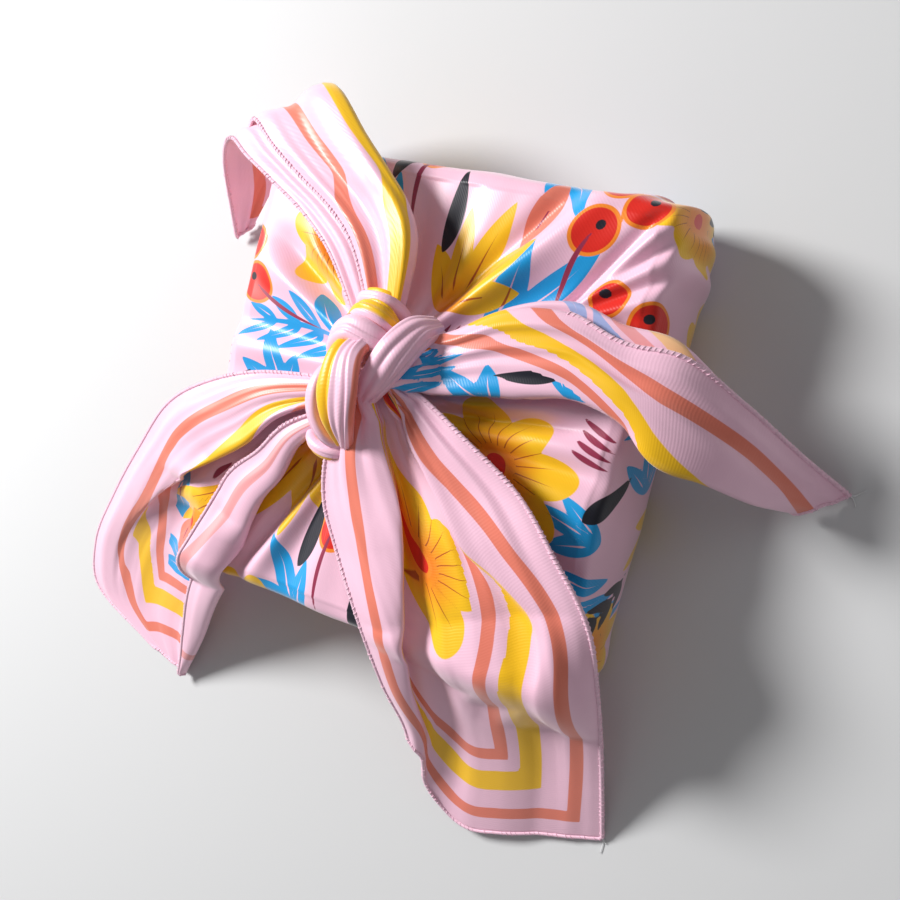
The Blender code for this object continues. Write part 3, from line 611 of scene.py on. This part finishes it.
sheet = {"tailGap": 2.0, "edgeFall": (6.0, 14.0, 16.0), "floorGap": 0.9, "thickness": 0.4, "rows": 168,
         "acrossStep": 1.36}
wrinkleColumns = ("count", "spread", "reach", "rise", "drift")
wrinkles = table(wrinkleColumns, [        # fine wrinkles, then broad waves
    (44, (0.008, 0.024), (0.2, 0.8), (0.25, 0.8), (-0.06, 0.06)),
    (9, (0.03, 0.06), (0.5, 1.3), (0.8, 1.7), (-0.06, 0.06)),
])
sectionColumns = ("left x", "left y", "left z", "right x", "right y", "right z")
foldColumns = ("name", "across", "lift", "reach", "cloth")      # values run evenly from the knot to the end
tails = {
    "tailFront": {
        "sections": [
            (-13, 2, 65, 10, 8, 65), (-18, -26, 66, 37, -4, 65), (-16, -46, 63, 65, -19, 62),
            (-7, -62, 61, 86, -38, 61), (9, -85, 59, 101, -57, 55), (20, -111, 45, 106, -83, 40),
            (28, -135, 26, 108, -113, 20), (25, -180, 5, 111, -149, 1),
        ],
        "folds": [
            ("hem", (1, 1), (5, 5, 3, 0.5), 1, (0, 0)),
            ("band", (0.86, 0.83, 0.88, 0.9), (6, 6.4, 4, 1), 1, (6, 7, 10, 13, 11, 8)),
            ("band edge", (0.68, 0.63, 0.62, 0.8, 0.8, 0.82), (5.5, 5.8, 5.6, 3.2, 1.8, 1), 1,
             (14, 15, 20, 22.5, 17, 14)),
            ("band foot", (0.65, 0.6, 0.59, 0.76, 0.76, 0.78), (0.2, 0.4, 0.6, 1.4, 1.2, 1), 1,
             (58, 58, 47, 25, 19, 16)),
            ("panel", (0.6, 0.53, 0.52, 0.5), (-0.4, 0.6, 2.5, 2), 1, (68, 66, 60, 50.5, 43.5, 44)),
            ("panel edge", (0.55, 0.46, 0.38, 0.36), (-0.6, -0.5, 1.6, 1), 1, (74, 72, 70, 62, 56, 58)),
            ("valley", (0.5, 0.4, 0.27, 0.24), (-1.5, -2.2, -2.8, -1), 0.985, (80, 78, 76, 72, 60, 40)),
            ("lobe foot", (0.46, 0.36, 0.14, 0.09), (-1.3, -1.8, -2.0, 0.2), 0.935, (84, 82, 78, 70, 40, 8)),
            ("lobe edge", (0.49, 0.41, 0.17, 0.03), (5.2, 5.0, 4.2, 1.2), 0.885, (20, 20, 20, 20, 20, 4)),
            ("lobe", (0.28, 0.22, 0.09, 0.015), (6.4, 6.4, 5.2, 1.4), 0.872, (11, 12, 12, 12, 11, 2)),
            ("other hem", (0, 0), (1.2, 1.2, 1.4, 1.2), 0.86, (0, 0)),
        ],
        "endCloth": 0.0, "hemStart": 0.0, "cloth": (-55, -110), "turn": 30,
        "flat": (0.19, 0.235), "area": 0.0223,
    },
    "tailRight": {
        "sections": [
            (0, 4, 65, 6, 24, 66), (28, 8, 66, 24, 31, 69), (52, 13, 64, 43, 43, 68),
            (76, 19, 62, 66, 47, 66), (96, 14, 61, 89, 41, 63.5), (109, 4, 58, 110, 41, 60),
            (124, 2, 50, 130, 31, 44), (139, -2, 28, 148, 19, 21), (149, -2, 9, 165, 9, 1.5),
        ],
        "folds": [
            ("hem", (1, 1), (0, 0), 1, (50, 31, 2, 0, 0, 0)),
            ("shoulder", (0.84, 0.82, 0.8, 0.75), (2, 3, 2.5, 1), 1, (54, 38, 7, 5.3, 6, 3.4)),
            ("hollow", (0.6, 0.56, 0.52, 0.5), (0, 0.5, 0.3, 0.5), 1, (62, 48, 22.5, 13, 12.5, 7)),
            ("roll", (0.34, 0.28, 0.26, 0.25), (2.4, 3, 3.5, 1), 1, (72, 62, 38.5, 22.7, 17.5, 10.3)),
            ("fold over", (0, 0), (1.4, 1.4, 1.4, 0.8), 1, (84, 78, 52, 33, 22, 13.5)),
            ("fold under", (0, 0), (-1.4, -1.4, -1.4, -1.6), 0.985, (86, 80, 56, 36, 25, 15)),
            ("reverse", (0.5, 0.5, 0.5, 0.4), (-3.2, -3.2), 0.9, (90, 82, 75, 60, 40, 22)),
            ("back edge", (0.92, 0.95, 1.06, 1.2, 1.04, 1.0, 1.0), (-3.2, -3.2), 0.82,
             (90, 80, 66, 44, 20, 11)),
            ("back turn", (0.92, 0.95, 1.06, 1.2, 1.04, 1.0, 1.0), (-5.6, -5.6), 0.81,
             (88, 78, 64, 42, 18, 9)),
            ("other hem", (0.7, 0.75, 0.85, 0.98, 0.85, 0.8, 0.8), (-5.9, -5.9), 0.8,
             (0, 0)),
        ],
        "cloth": (44, 36), "turn": 10, "endCloth": 30.0, "hemStart": 0.38,
        "flat": (0.16, 0.2), "area": 0.0160,
    },
    "tailBack": {
        "sections": [
            (-16, 18, 65, -2, 30, 65), (-43, 51, 67, -2, 61, 68), (-62, 64, 65, -10, 74, 67),
            (-84, 75, 64, -22, 85, 67), (-102, 84, 63, -38, 98, 66), (-118, 92, 58, -61, 116, 61),
            (-131, 86, 44, -82, 116, 44), (-141, 68, 22, -112, 96, 20), (-148, 54, 4, -139, 61, 4),
        ],
        "folds": [
            ("other hem", (0, 0), (-2.5, -2.5, -2, -1.3), 1, (0, 0)),
            ("reverse band", (0.25, 0.22, 0.2, 0.2), (-2, -1.8, -2, -1.3), 1, (5, 6, 6.5, 6.5, 6, 3)),
            ("reverse", (0.6, 0.6, 0.55, 0.6), (-2.8, -2.8, -2.4, -1.3), 1, (12, 16, 18, 18, 16, 8)),
            ("fold under", (1, 1), (-1.3, -1.3, -1.3, -1.2), 1, (40, 38, 30, 30, 26, 14)),
            ("fold over", (1, 1), (1.3, 1.3, 1.3, 1.2), 1, (38, 36, 27, 29, 26, 12)),
            ("yellow ridge", (0.86, 0.84, 0.84, 0.84), (3.4, 3.2, 2.5, 1.4), 1, (27, 27, 18, 19, 18, 8)),
            ("hollow", (0.62, 0.6, 0.6, 0.6), (0.8, 1.0, 0.8, 1.3), 1, (17, 19, 10, 11, 11, 5)),
            ("hem side", (0.45, 0.42, 0.4, 0.4), (2.5, 2.6, 2, 1.3), 1, (8, 9.5, 4, 5, 5, 2)),
            ("hem", (0.34, 0.3, 0.28, 0.26), (1.2, 1.3, 1.2, 1.3), 1, (0, 0)),
        ],
        "endCloth": 0.0, "hemStart": 0.0, "cloth": (-60, 60), "turn": 120,
        "flat": (0.16, 0.2), "area": 0.0160,
    },
    "tailLeft": {
        "sections": [
            (-22, 2, 64, -14, -10, 64), (-64, -5, 64, -33, -28, 66), (-89, -14, 61, -40, -44, 64),
            (-112, -28, 57, -49, -57, 62), (-136, -54, 45, -56, -75, 58), (-163, -84, 28, -64, -93, 50),
            (-186, -117, 11, -79, -113, 37), (-187, -140, 3, -97, -139, 18), (-143, -159, 1.5, -114, -164, 3),
        ],
        "folds": [
            ("hem", (0, 0), (3, 3, 1, 0), 1, (0, 0)),
            ("band", (0.34, 0.32, 0.12, 0.1), (6, 7.5, 4, 0), 1, (12, 14, 12, 5, 4, 1)),
            ("band edge", (0.6, 0.62, 0.23, 0.2), (5, 6, 2.8, 0), 1, (44, 35, 26, 13, 7, 3)),
            ("band turn", (0.6, 0.6, 0.245, 0.25), (2.4, 3.2, 1.4, 0), 1, (46, 37, 28, 15, 8, 4)),
            ("tuck", (0.4, 0.4, 0.27, 0.31), (2.4, 2.4, 0, 0), 1, (56, 56, 52, 38, 11, 6)),
            ("tuck turn", (0.4, 0.4, 0.31, 0.37), (-0.2, -0.4, -1.6, 0), 1, (58, 58, 54, 41, 14, 8)),
            ("cup", (0.62, 0.62, 0.48, 0.5), (-1.2, -2.6, -6.5, 0), 1, (64, 64, 62, 60, 36, 14)),
            ("cup side", (0.84, 0.84, 0.8, 0.8), (-1.4, -2.8, -6, 0), 1, (80, 80, 80, 80, 74, 30)),
            ("fold under", (1, 1), (-1.3, -1.4, -1.4, 0.2), 1, (21.5, 21.5, 21, 20.5, 20.5, 18)),
            ("fold over", (1, 1), (1.4, 1.4, 1.4, 1.8), 1, (20.5, 20.5, 20, 19.5, 19.5, 16)),
            ("lobe", (0.9, 0.9, 0.88, 0.9, 0.93, 0.96), (4, 4.4, 4.4, 3.6), 1, (13, 13, 12, 15, 19, 15)),
            ("other hem", (0.74, 0.74, 0.72, 0.79, 0.85, 0.92), (2.8, 3, 3, 3.2), 1, (0, 0, 0, 8, 15, 12)),
        ],
        "endCloth": -6.0, "hemStart": 0.0, "cloth": (-90, -60), "turn": 200,
        "flat": (0.2, 0.26), "area": 0.0260,
    },
}


def supportHeight(x, y):
    # the lowest that a tail may lie: on the face, then falling away past its edge
    half = parcel["side"] / 2
    power = parcel["squareness"]
    size = (np.abs(x / half) ** power + np.abs(y / half) ** power) ** (1 / power)
    inset, width, drop = sheet["edgeFall"]
    share = ((size - 1.0) * half + inset) / width
    return parcel["height"] + faceHeight(x, y) + sheet["tailGap"] - drop * np.maximum(share, 0.0) ** 2


def tailFrame(left, right, place):
    last = len(left) - 1
    before, beyond = np.maximum(place - 0.1, 0.0), np.minimum(place + 0.1, last)
    near, far = curveThrough(left, place), curveThrough(right, place)
    ahead = (curveThrough(left, beyond) + curveThrough(right, beyond)
             - curveThrough(left, before) - curveThrough(right, before))
    return near, far, unit(np.cross(ahead, far - near))


def tailLines(sections, folds):
    # for each fold line of the cloth, its points from the knot to the end
    corners = table(sectionColumns, sections)
    left, right = (columnPoints(corners, side) for side in ("left ", "right "))
    facing = math.copysign(1.0, tailFrame(left, right, np.array([1.0]))[2][0, 2])
    lines = []
    for fold in range(len(folds["name"])):
        share = folds["reach"][fold] * np.linspace(0.0, 1.0, sheet["rows"] + 1)
        near, far, up = tailFrame(left, right, share * (len(sections) - 1))
        point = near + (far - near) * valueAlong(folds["across"][fold], share)[:, None]
        raised = valueAlong(folds["lift"][fold], share)
        lowest = np.min([valueAlong(lift, share) for lift in folds["lift"]], axis=0)
        point = point + up * (facing * raised)[:, None]
        point[:, 2] = np.maximum(point[:, 2], supportHeight(point[:, 0], point[:, 1]) + raised - lowest)
        lines.append(point)
    return np.stack(lines)


def surfaceNormals(grid):
    return unit(np.cross(np.gradient(grid, axis=1), np.gradient(grid, axis=0)))


def wrinkleHeight(across, along):
    # wrinkles drawn out from the knot; across and along are shares of the sheet
    height = np.zeros(across.shape)
    for count, spreads, reaches, rises, drifts in zip(*(wrinkles[column] for column in wrinkleColumns)):
        for _ in range(count):
            centre, spread = random.uniform(0, 1), random.uniform(*spreads)
            reach = random.uniform(*reaches)
            rise = random.uniform(*rises) * random.choice((1, -1))
            drift = random.uniform(*drifts)
            ridge = np.exp(-((across - centre - drift * along) / spread) ** 2)
            height += rise * ridge * np.exp(-(along / reach) ** 2)
    return height


def foldedCloth(sections, folds):
    # a grid over the fold lines, and each point's distance from the hem beside it
    lines = tailLines(sections, folds)
    middle = lines[:, lines.shape[1] // 2]
    places = []
    for index in range(len(lines) - 1):
        steps = max(2, round(np.linalg.norm(middle[index + 1] - middle[index]) / sheet["acrossStep"]))
        places.extend(index + step / steps for step in range(steps))
    places = np.array(places + [len(lines) - 1.0])
    share = np.linspace(0.0, 1.0, lines.shape[1])
    cloth = np.stack([valueAlong(values, share) for values in folds["cloth"]])
    grid, cloth = curveThrough(lines, places), curveThrough(cloth[..., None], places)[..., 0]
    hemIsFirst = str(folds["name"][0]) == "hem"
    return (grid, cloth) if hemIsFirst else (grid[::-1], cloth[::-1])


def thicken(tail):
    wall = tail.modifiers.new("thickness", 'SOLIDIFY')
    wall.thickness = sheet["thickness"] * mm
    wall.offset = 0.0
    wall.material_offset = 1
    wall.use_even_offset = False
    applyModifiers(tail)


def makeTail(name, look):
    plain, cloth = foldedCloth(look["sections"], table(foldColumns, look["folds"]))
    columns, rows = plain.shape[:2]
    along = np.linspace(0.0, 1.0, rows)[None, :]
    across = stepLengths(plain, 0)
    grid = plain + surfaceNormals(plain) * wrinkleHeight(across / across[-1:, :], along)[..., None]
    grid[..., 2] = np.maximum(grid[..., 2], sheet["floorGap"])
    lengths = stepLengths(grid, 1)
    fromEnd = lengths[:, -1:] - lengths + look["endCloth"]
    nearest = np.minimum(*(evenStripes(np.maximum(edge, 0.0), plain) for edge in (cloth, fromEnd)))
    clothX, clothY = turned(cloth, fromEnd, look["turn"])
    clothX, clothY = clothX + look["cloth"][0], clothY + look["cloth"][1]
    attributes = printedOn(clothX, clothY)
    attributes.update(fromHem=nearest, clothX=clothX, clothY=clothY)
    faces = gridFaces(columns, rows)
    hemSide = surfaceNormals(grid)[2:columns // 8, rows // 4:rows * 3 // 4, 2].mean()
    if hemSide < 0:                           # the printed face looks up beside the hem
        faces = faces[:, ::-1]
    tail = newPiece(name, grid, faces, attributes)
    tail.data.materials.append(satinFace)
    tail.data.materials.append(satinBack)
    thicken(tail)
    start = round(look["hemStart"] * rows)
    border = np.concatenate([grid[0, start:], grid[1:, -1], grid[-1, -2::-1]])
    return tail, border, (rows - 1 - start, 2 * (rows - start) // 3)


# the knot: pleated turns of cloth over one another

knot = {"centre": (-3.0, 9.0, 64.0), "rings": 60, "sides": 160, "printShift": 30, "pleatDepth": 0.46,
        "creases": 4, "creaseFrom": 0.35, "creaseSpan": 2.45, "creaseSpread": (0.07, 0.17),
        "creaseDepth": (0.4, 1.6), "creaseDrift": (-0.5, 0.5)}
pathColumns = ("x", "y", "z", "width", "depth")
bands = {       # hems are the distances from the hem on a turn's two sides
    "frontWrap": {"path": [(-6, 22, 76, 12, 7), (-9, 13, 84, 19, 8), (-8, 0, 86, 22, 8), (-8, -11, 82, 19, 8),
                           (-9, -21, 71, 9, 6)], "hems": (26.0, 41.6)},
    "innerWrap": {"path": [(-20, 10, 71, 9, 6), (-24, -2, 76, 13, 7), (-23, -12, 75, 13, 7),
                           (-18, -20, 72, 11, 6), (-12, -23, 66, 7, 5)], "hems": (12.9, 19.5)},
    "knuckle": {"path": [(-23, 9, 68, 11, 8), (-19, 19, 76, 15, 9), (-11, 24, 79, 16, 9), (-2, 22, 78, 14, 8),
                         (4, 17, 70, 10, 7)], "hems": (50.0, 44.6)},
    "upperTurn": {"path": [(-19, 26, 70, 8, 7), (-10, 31, 76, 10, 8), (-3, 30, 76, 10, 8), (2, 24, 70, 8, 7)],
                  "hems": (23.0, 35.0)},
    "topTurn": {"path": [(-22, 33, 62, 7, 6), (-15, 36, 69, 9, 7), (-6, 36, 70, 9, 7), (0, 31, 63, 8, 6)],
                "hems": (37.0, 28.0)},
    "crossWrap": {"path": [(15, 31, 64, 10, 6), (13, 27, 74, 14, 7), (10, 18, 80, 15, 7), (4, 7, 79, 13, 7),
                           (-5, -4, 72, 8, 6)], "hems": (22.0, 15.0)},
    "lowWrap": {"path": [(-30, -18, 60, 8, 6), (-24, -25, 67, 10, 7), (-15, -26, 67, 10, 7),
                         (-8, -20, 62, 8, 6)], "hems": (37.0, 22.0)},
}


def makeBand(name, look):
    rows = table(pathColumns, look["path"])
    share = np.linspace(0.0, 1.0, knot["rings"])
    path = columnPoints(rows)
    place = share * (len(path) - 1)
    point = curveThrough(path, place)
    beyond, before = np.minimum(place + 0.05, len(path) - 1), np.maximum(place - 0.05, 0.0)
    ahead = unit(curveThrough(path, beyond) - curveThrough(path, before))
    outward = point - np.array(knot["centre"])
    outward = unit(outward - ahead * np.sum(outward * ahead, axis=1, keepdims=True))
    aside = np.cross(ahead, outward)
    halfWidth = valueAlong(rows["width"], share)[:, None] / 2
    halfDepth = valueAlong(rows["depth"], share)[:, None] / 2
    turn = (2 * math.pi * np.arange(knot["sides"]) / knot["sides"])[None, :]
    pleat = np.zeros((knot["rings"], knot["sides"]))
    gathered = 1.0 - 0.35 * np.abs(2.0 * share[:, None] - 1.0) ** 2
    for crease in range(knot["creases"]):
        step = (crease + random.uniform(0.2, 0.8)) / knot["creases"]
        centre = knot["creaseFrom"] + knot["creaseSpan"] * step
        spread, depth = random.uniform(*knot["creaseSpread"]), random.uniform(*knot["creaseDepth"])
        drift = random.uniform(*knot["creaseDrift"])
        line = centre + drift * (share[:, None] - 0.5) + 0.05 * np.sin(7.0 * share[:, None] + crease)
        away = (turn - math.pi / 2 - (line - math.pi / 2) * gathered) / spread
        pleat -= depth * np.exp(-np.sqrt(away ** 2 + 0.2)) - 0.25 * depth * np.exp(-((away - 2.4) / 1.6) ** 2)
    bulge = 1.0 + knot["pleatDepth"] * pleat
    points = (point[:, None] + aside[:, None] * (halfWidth * np.cos(turn))[..., None]
              + outward[:, None] * (halfDepth * bulge * np.sin(turn))[..., None])
    points = points.transpose(1, 0, 2)
    sides, rings = points.shape[:2]
    low, high = look["hems"]
    cloth = (1.0 - np.cos(turn)) / 2
    fromHem = np.broadcast_to(low + (high - low) * cloth, (rings, sides)).T
    lengths = stepLengths(points, 1)
    attributes = printedOn(fromHem + knot["printShift"], lengths)
    attributes.update(fromHem=fromHem, clothX=fromHem, clothY=lengths)
    band = newPiece(name, points, tubeFaces(sides, rings), attributes)
    band.data.materials.append(satinFace)
    return band


# the hem: a rolled edge bound with overlock thread, made by Geometry Nodes along each border

hem = {"rollRadius": 0.85, "threadRadius": 0.27, "stitchPitch": 2.0, "stitchTilt": 38.0, "seed": 7,
       "rollSides": 8, "ringSides": 9, "threadSides": 4, "ringSize": 1.04, "stitchSizes": (0.86, 1.12),
       "endsOn": ("tailFrontHem", "tailRightHem"), "ends": 3, "endLength": (3.5, 7.0), "endRadius": 0.18}


def hemNodes():
    tree = bpy.data.node_groups.new("rolled hem", 'GeometryNodeTree')
    face = tree.interface
    face.new_socket("Curve", in_out='INPUT', socket_type='NodeSocketGeometry')
    for title in ("rollRadius", "threadRadius", "stitchPitch", "stitchTilt"):
        face.new_socket(title, in_out='INPUT', socket_type='NodeSocketFloat')
    face.new_socket("seed", in_out='INPUT', socket_type='NodeSocketInt')
    face.new_socket("thread", in_out='INPUT', socket_type='NodeSocketMaterial')
    face.new_socket("Mesh", in_out='OUTPUT', socket_type='NodeSocketGeometry')
    given = tree.nodes.new("NodeGroupInput").outputs
    done = tree.nodes.new("NodeGroupOutput")

    def circle(sides, radius):
        made = addNode(tree, "GeometryNodeCurvePrimitiveCircle", {"Resolution": sides, "Radius": radius})
        return made.outputs["Curve"]

    path = addNode(tree, "GeometryNodeResampleCurve",
                   {"Curve": given["Curve"], "Length": given["stitchPitch"]}, mode='LENGTH')
    edge = circle(hem["rollSides"], given["rollRadius"])
    roll = addNode(tree, "GeometryNodeCurveToMesh", {0: path.outputs[0], 1: edge})
    outer = addNode(tree, "ShaderNodeMath", {0: given["rollRadius"], 1: hem["ringSize"]},
                    operation='MULTIPLY')
    ring = circle(hem["ringSides"], outer.outputs[0])
    thread = circle(hem["threadSides"], given["threadRadius"])
    stitch = addNode(tree, "GeometryNodeCurveToMesh", {0: ring, 1: thread})
    tangent = addNode(tree, "GeometryNodeInputTangent")
    facing = addNode(tree, "FunctionNodeAlignRotationToVector", {"Vector": tangent.outputs[0]}, axis='Z')
    tiltAngle = addNode(tree, "ShaderNodeMath", {0: given["stitchTilt"]}, operation='RADIANS')
    tilt = addNode(tree, "ShaderNodeCombineXYZ", {0: tiltAngle.outputs[0]})
    tiltTurn = addNode(tree, "FunctionNodeEulerToRotation", {0: tilt.outputs[0]})
    spun = addNode(tree, "FunctionNodeRotateRotation", {0: facing.outputs[0], 1: tiltTurn.outputs[0]},
                   rotation_space='LOCAL')
    least, most = hem["stitchSizes"]
    uneven = addNode(tree, "FunctionNodeRandomValue", {2: least, 3: most, "Seed": given["seed"]},
                     data_type='FLOAT')
    stitches = addNode(tree, "GeometryNodeInstanceOnPoints",
                       {"Points": path.outputs[0], "Instance": stitch.outputs[0], "Rotation": spun.outputs[0],
                        "Scale": uneven.outputs[1]})
    joined = tree.nodes.new("GeometryNodeJoinGeometry")
    tree.links.new(roll.outputs[0], joined.inputs[0])
    tree.links.new(stitches.outputs[0], joined.inputs[0])
    real = addNode(tree, "GeometryNodeRealizeInstances", {0: joined.outputs[0]})
    smooth = addNode(tree, "GeometryNodeSetShadeSmooth", {0: real.outputs[0]})
    coloured = addNode(tree, "GeometryNodeSetMaterial",
                       {"Geometry": smooth.outputs[0], "Material": given["thread"]})
    tree.links.new(coloured.outputs[0], done.inputs[0])
    return tree


def addThreadEnds(mesh, corner, outward):
    # loose ends of overlock thread at a corner of the cloth
    draws = np.random.default_rng(hem["seed"])
    build = bmesh.new()
    build.from_mesh(mesh)
    rings, sides = 11, 6
    share = np.linspace(0.0, 1.0, rings)[:, None]
    turn = (2 * math.pi * np.arange(sides) / sides)[None, :, None]
    faces = []
    for _ in range(hem["ends"]):
        length = draws.uniform(*hem["endLength"])
        lean = unit(outward + np.array([draws.uniform(-0.5, 0.5) for _ in range(3)]))
        bend = np.array([draws.uniform(-0.5, 0.5) for _ in range(3)])
        path = corner + length * (lean * share + bend * share ** 2)
        path[:, 2] = np.maximum(path[:, 2], 0.5)
        ahead = unit(np.gradient(path, axis=0))
        aside = unit(np.cross(ahead, np.array([0.1, 0.2, 1.0])))
        above = np.cross(aside, ahead)
        circle = aside[:, None] * np.cos(turn) + above[:, None] * np.sin(turn)
        tube = (path[:, None] + hem["endRadius"] * circle).transpose(1, 0, 2).reshape(-1, 3)
        corners = [build.verts.new(tuple(point * mm)) for point in tube]
        faces += [build.faces.new([corners[index] for index in loop]) for loop in tubeFaces(sides, rings)]
    for face in faces:
        face.smooth = True
    bmesh.ops.recalc_face_normals(build, faces=faces)
    build.to_mesh(mesh)
    build.free()


def makeHem(name, border, corners, tree):
    # corners are the border's places of the cloth's corner and of a point well inside the tail
    curve = bpy.data.curves.new(name, 'CURVE')
    curve.dimensions = '3D'
    spline = curve.splines.new('POLY')
    spline.points.add(len(border) - 1)
    flat = np.concatenate([border * mm, np.ones((len(border), 1))], axis=1)
    spline.points.foreach_set("co", flat.astype(np.float32).ravel())
    path = placed(name + "Path", curve)
    nodes = path.modifiers.new("rolled hem", 'NODES')
    nodes.node_group = tree
    sizes = {"rollRadius": hem["rollRadius"] * mm, "threadRadius": hem["threadRadius"] * mm,
             "stitchPitch": hem["stitchPitch"] * mm, "stitchTilt": hem["stitchTilt"], "seed": hem["seed"],
             "thread": pinkThread}
    for item in tree.interface.items_tree:
        if item.in_out == 'INPUT' and item.name in sizes:
            nodes[item.identifier] = sizes[item.name]
    graph = bpy.context.evaluated_depsgraph_get()
    mesh = bpy.data.meshes.new_from_object(path.evaluated_get(graph))
    if name in hem["endsOn"]:
        corner = border[corners[0]]
        addThreadEnds(mesh, corner, unit(corner - border[corners[1]]))
    bpy.data.objects.remove(path)
    return placed(name, mesh)


cover = makeParcelCover()
print("parcel cover made")
hemTree = hemNodes()
pieces = [cover]
for tailName, tailLook in tails.items():
    tail, border, corners = makeTail(tailName, tailLook)
    tailHem = makeHem(tailName + "Hem", border, corners, hemTree)
    pieces += [tail, tailHem]
    print(tailName, "made")
knotBands = [makeBand(bandName, bandLook) for bandName, bandLook in bands.items()]
pieces += knotBands
print("knot made")


# stage, light and camera

stage = {"floor": "#CFCFCF", "floorSize": 4.0, "floorRoughness": 0.8, "room": "#E9EBF0", "roomStrength": 0.2,
         "lens": 42.6, "sensor": 36.0, "eye": (0.2248, 0.0192, 0.4120), "sight": (-0.4802, -0.0789, -0.8736),
         "sideways": (0.8386, 0.2508, -0.4836)}
floorMesh = bpy.data.meshes.new("floor")
edge = stage["floorSize"] / 2
floorCorners = [(-edge, -edge, 0), (edge, -edge, 0), (edge, edge, 0), (-edge, edge, 0)]
floorMesh.from_pydata(floorCorners, [], [(0, 1, 2, 3)])
floor = placed("floor", floorMesh)
# Pale matt studio paper: plain, as the floor isn't part of the object.
paper, paperTree, paperShader = newMaterial("studio paper")
fillInputs(paperTree, paperShader,
           {"Base Color": linear(stage["floor"]), "Roughness": stage["floorRoughness"]})
floorMesh.materials.append(paper)

lights = table(("name", "x", "y", "z", "size", "power"), [
    ("window", -1.05, 0.3, 0.95, 0.5, 31.0),
    ("room", 0.9, 0.9, 1.2, 1.4, 2.6),
    ("front", 0.2, -1.2, 0.9, 1.0, 1.3),
])
for index in range(len(lights["name"])):
    lamp = bpy.data.lights.new(str(lights["name"][index]), 'AREA')
    lamp.shape = 'DISK'
    lamp.size = float(lights["size"][index])
    lamp.energy = float(lights["power"][index])
    holder = placed(lamp.name, lamp)
    spot = Vector([float(lights[axis][index]) for axis in "xyz"])
    holder.matrix_world = Matrix.Translation(spot) @ (-spot).to_track_quat('-Z', 'Y').to_matrix().to_4x4()
world = bpy.data.worlds.new("soft room")
bpy.context.scene.world = world
world.use_nodes = True
fillInputs(world.node_tree, world.node_tree.nodes["Background"],
           {"Color": linear(stage["room"]), "Strength": stage["roomStrength"]})
bpy.context.scene.view_settings.view_transform = 'Standard'

cameraData = bpy.data.cameras.new("camera")
cameraData.lens = stage["lens"]
cameraData.sensor_width = stage["sensor"]
camera = placed("camera", cameraData)
sight = Vector(stage["sight"]).normalized()
sideways = Vector(stage["sideways"]).normalized()
upwards = sideways.cross(sight)
turn = Matrix((sideways, upwards, -sight)).transposed().to_4x4()
camera.matrix_world = Matrix.Translation(stage["eye"]) @ turn
bpy.context.scene.camera = camera
print("stage made")


# how the pieces stand in for the solid

for piece in pieces:
    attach(piece, "root")
    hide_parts("wrap")
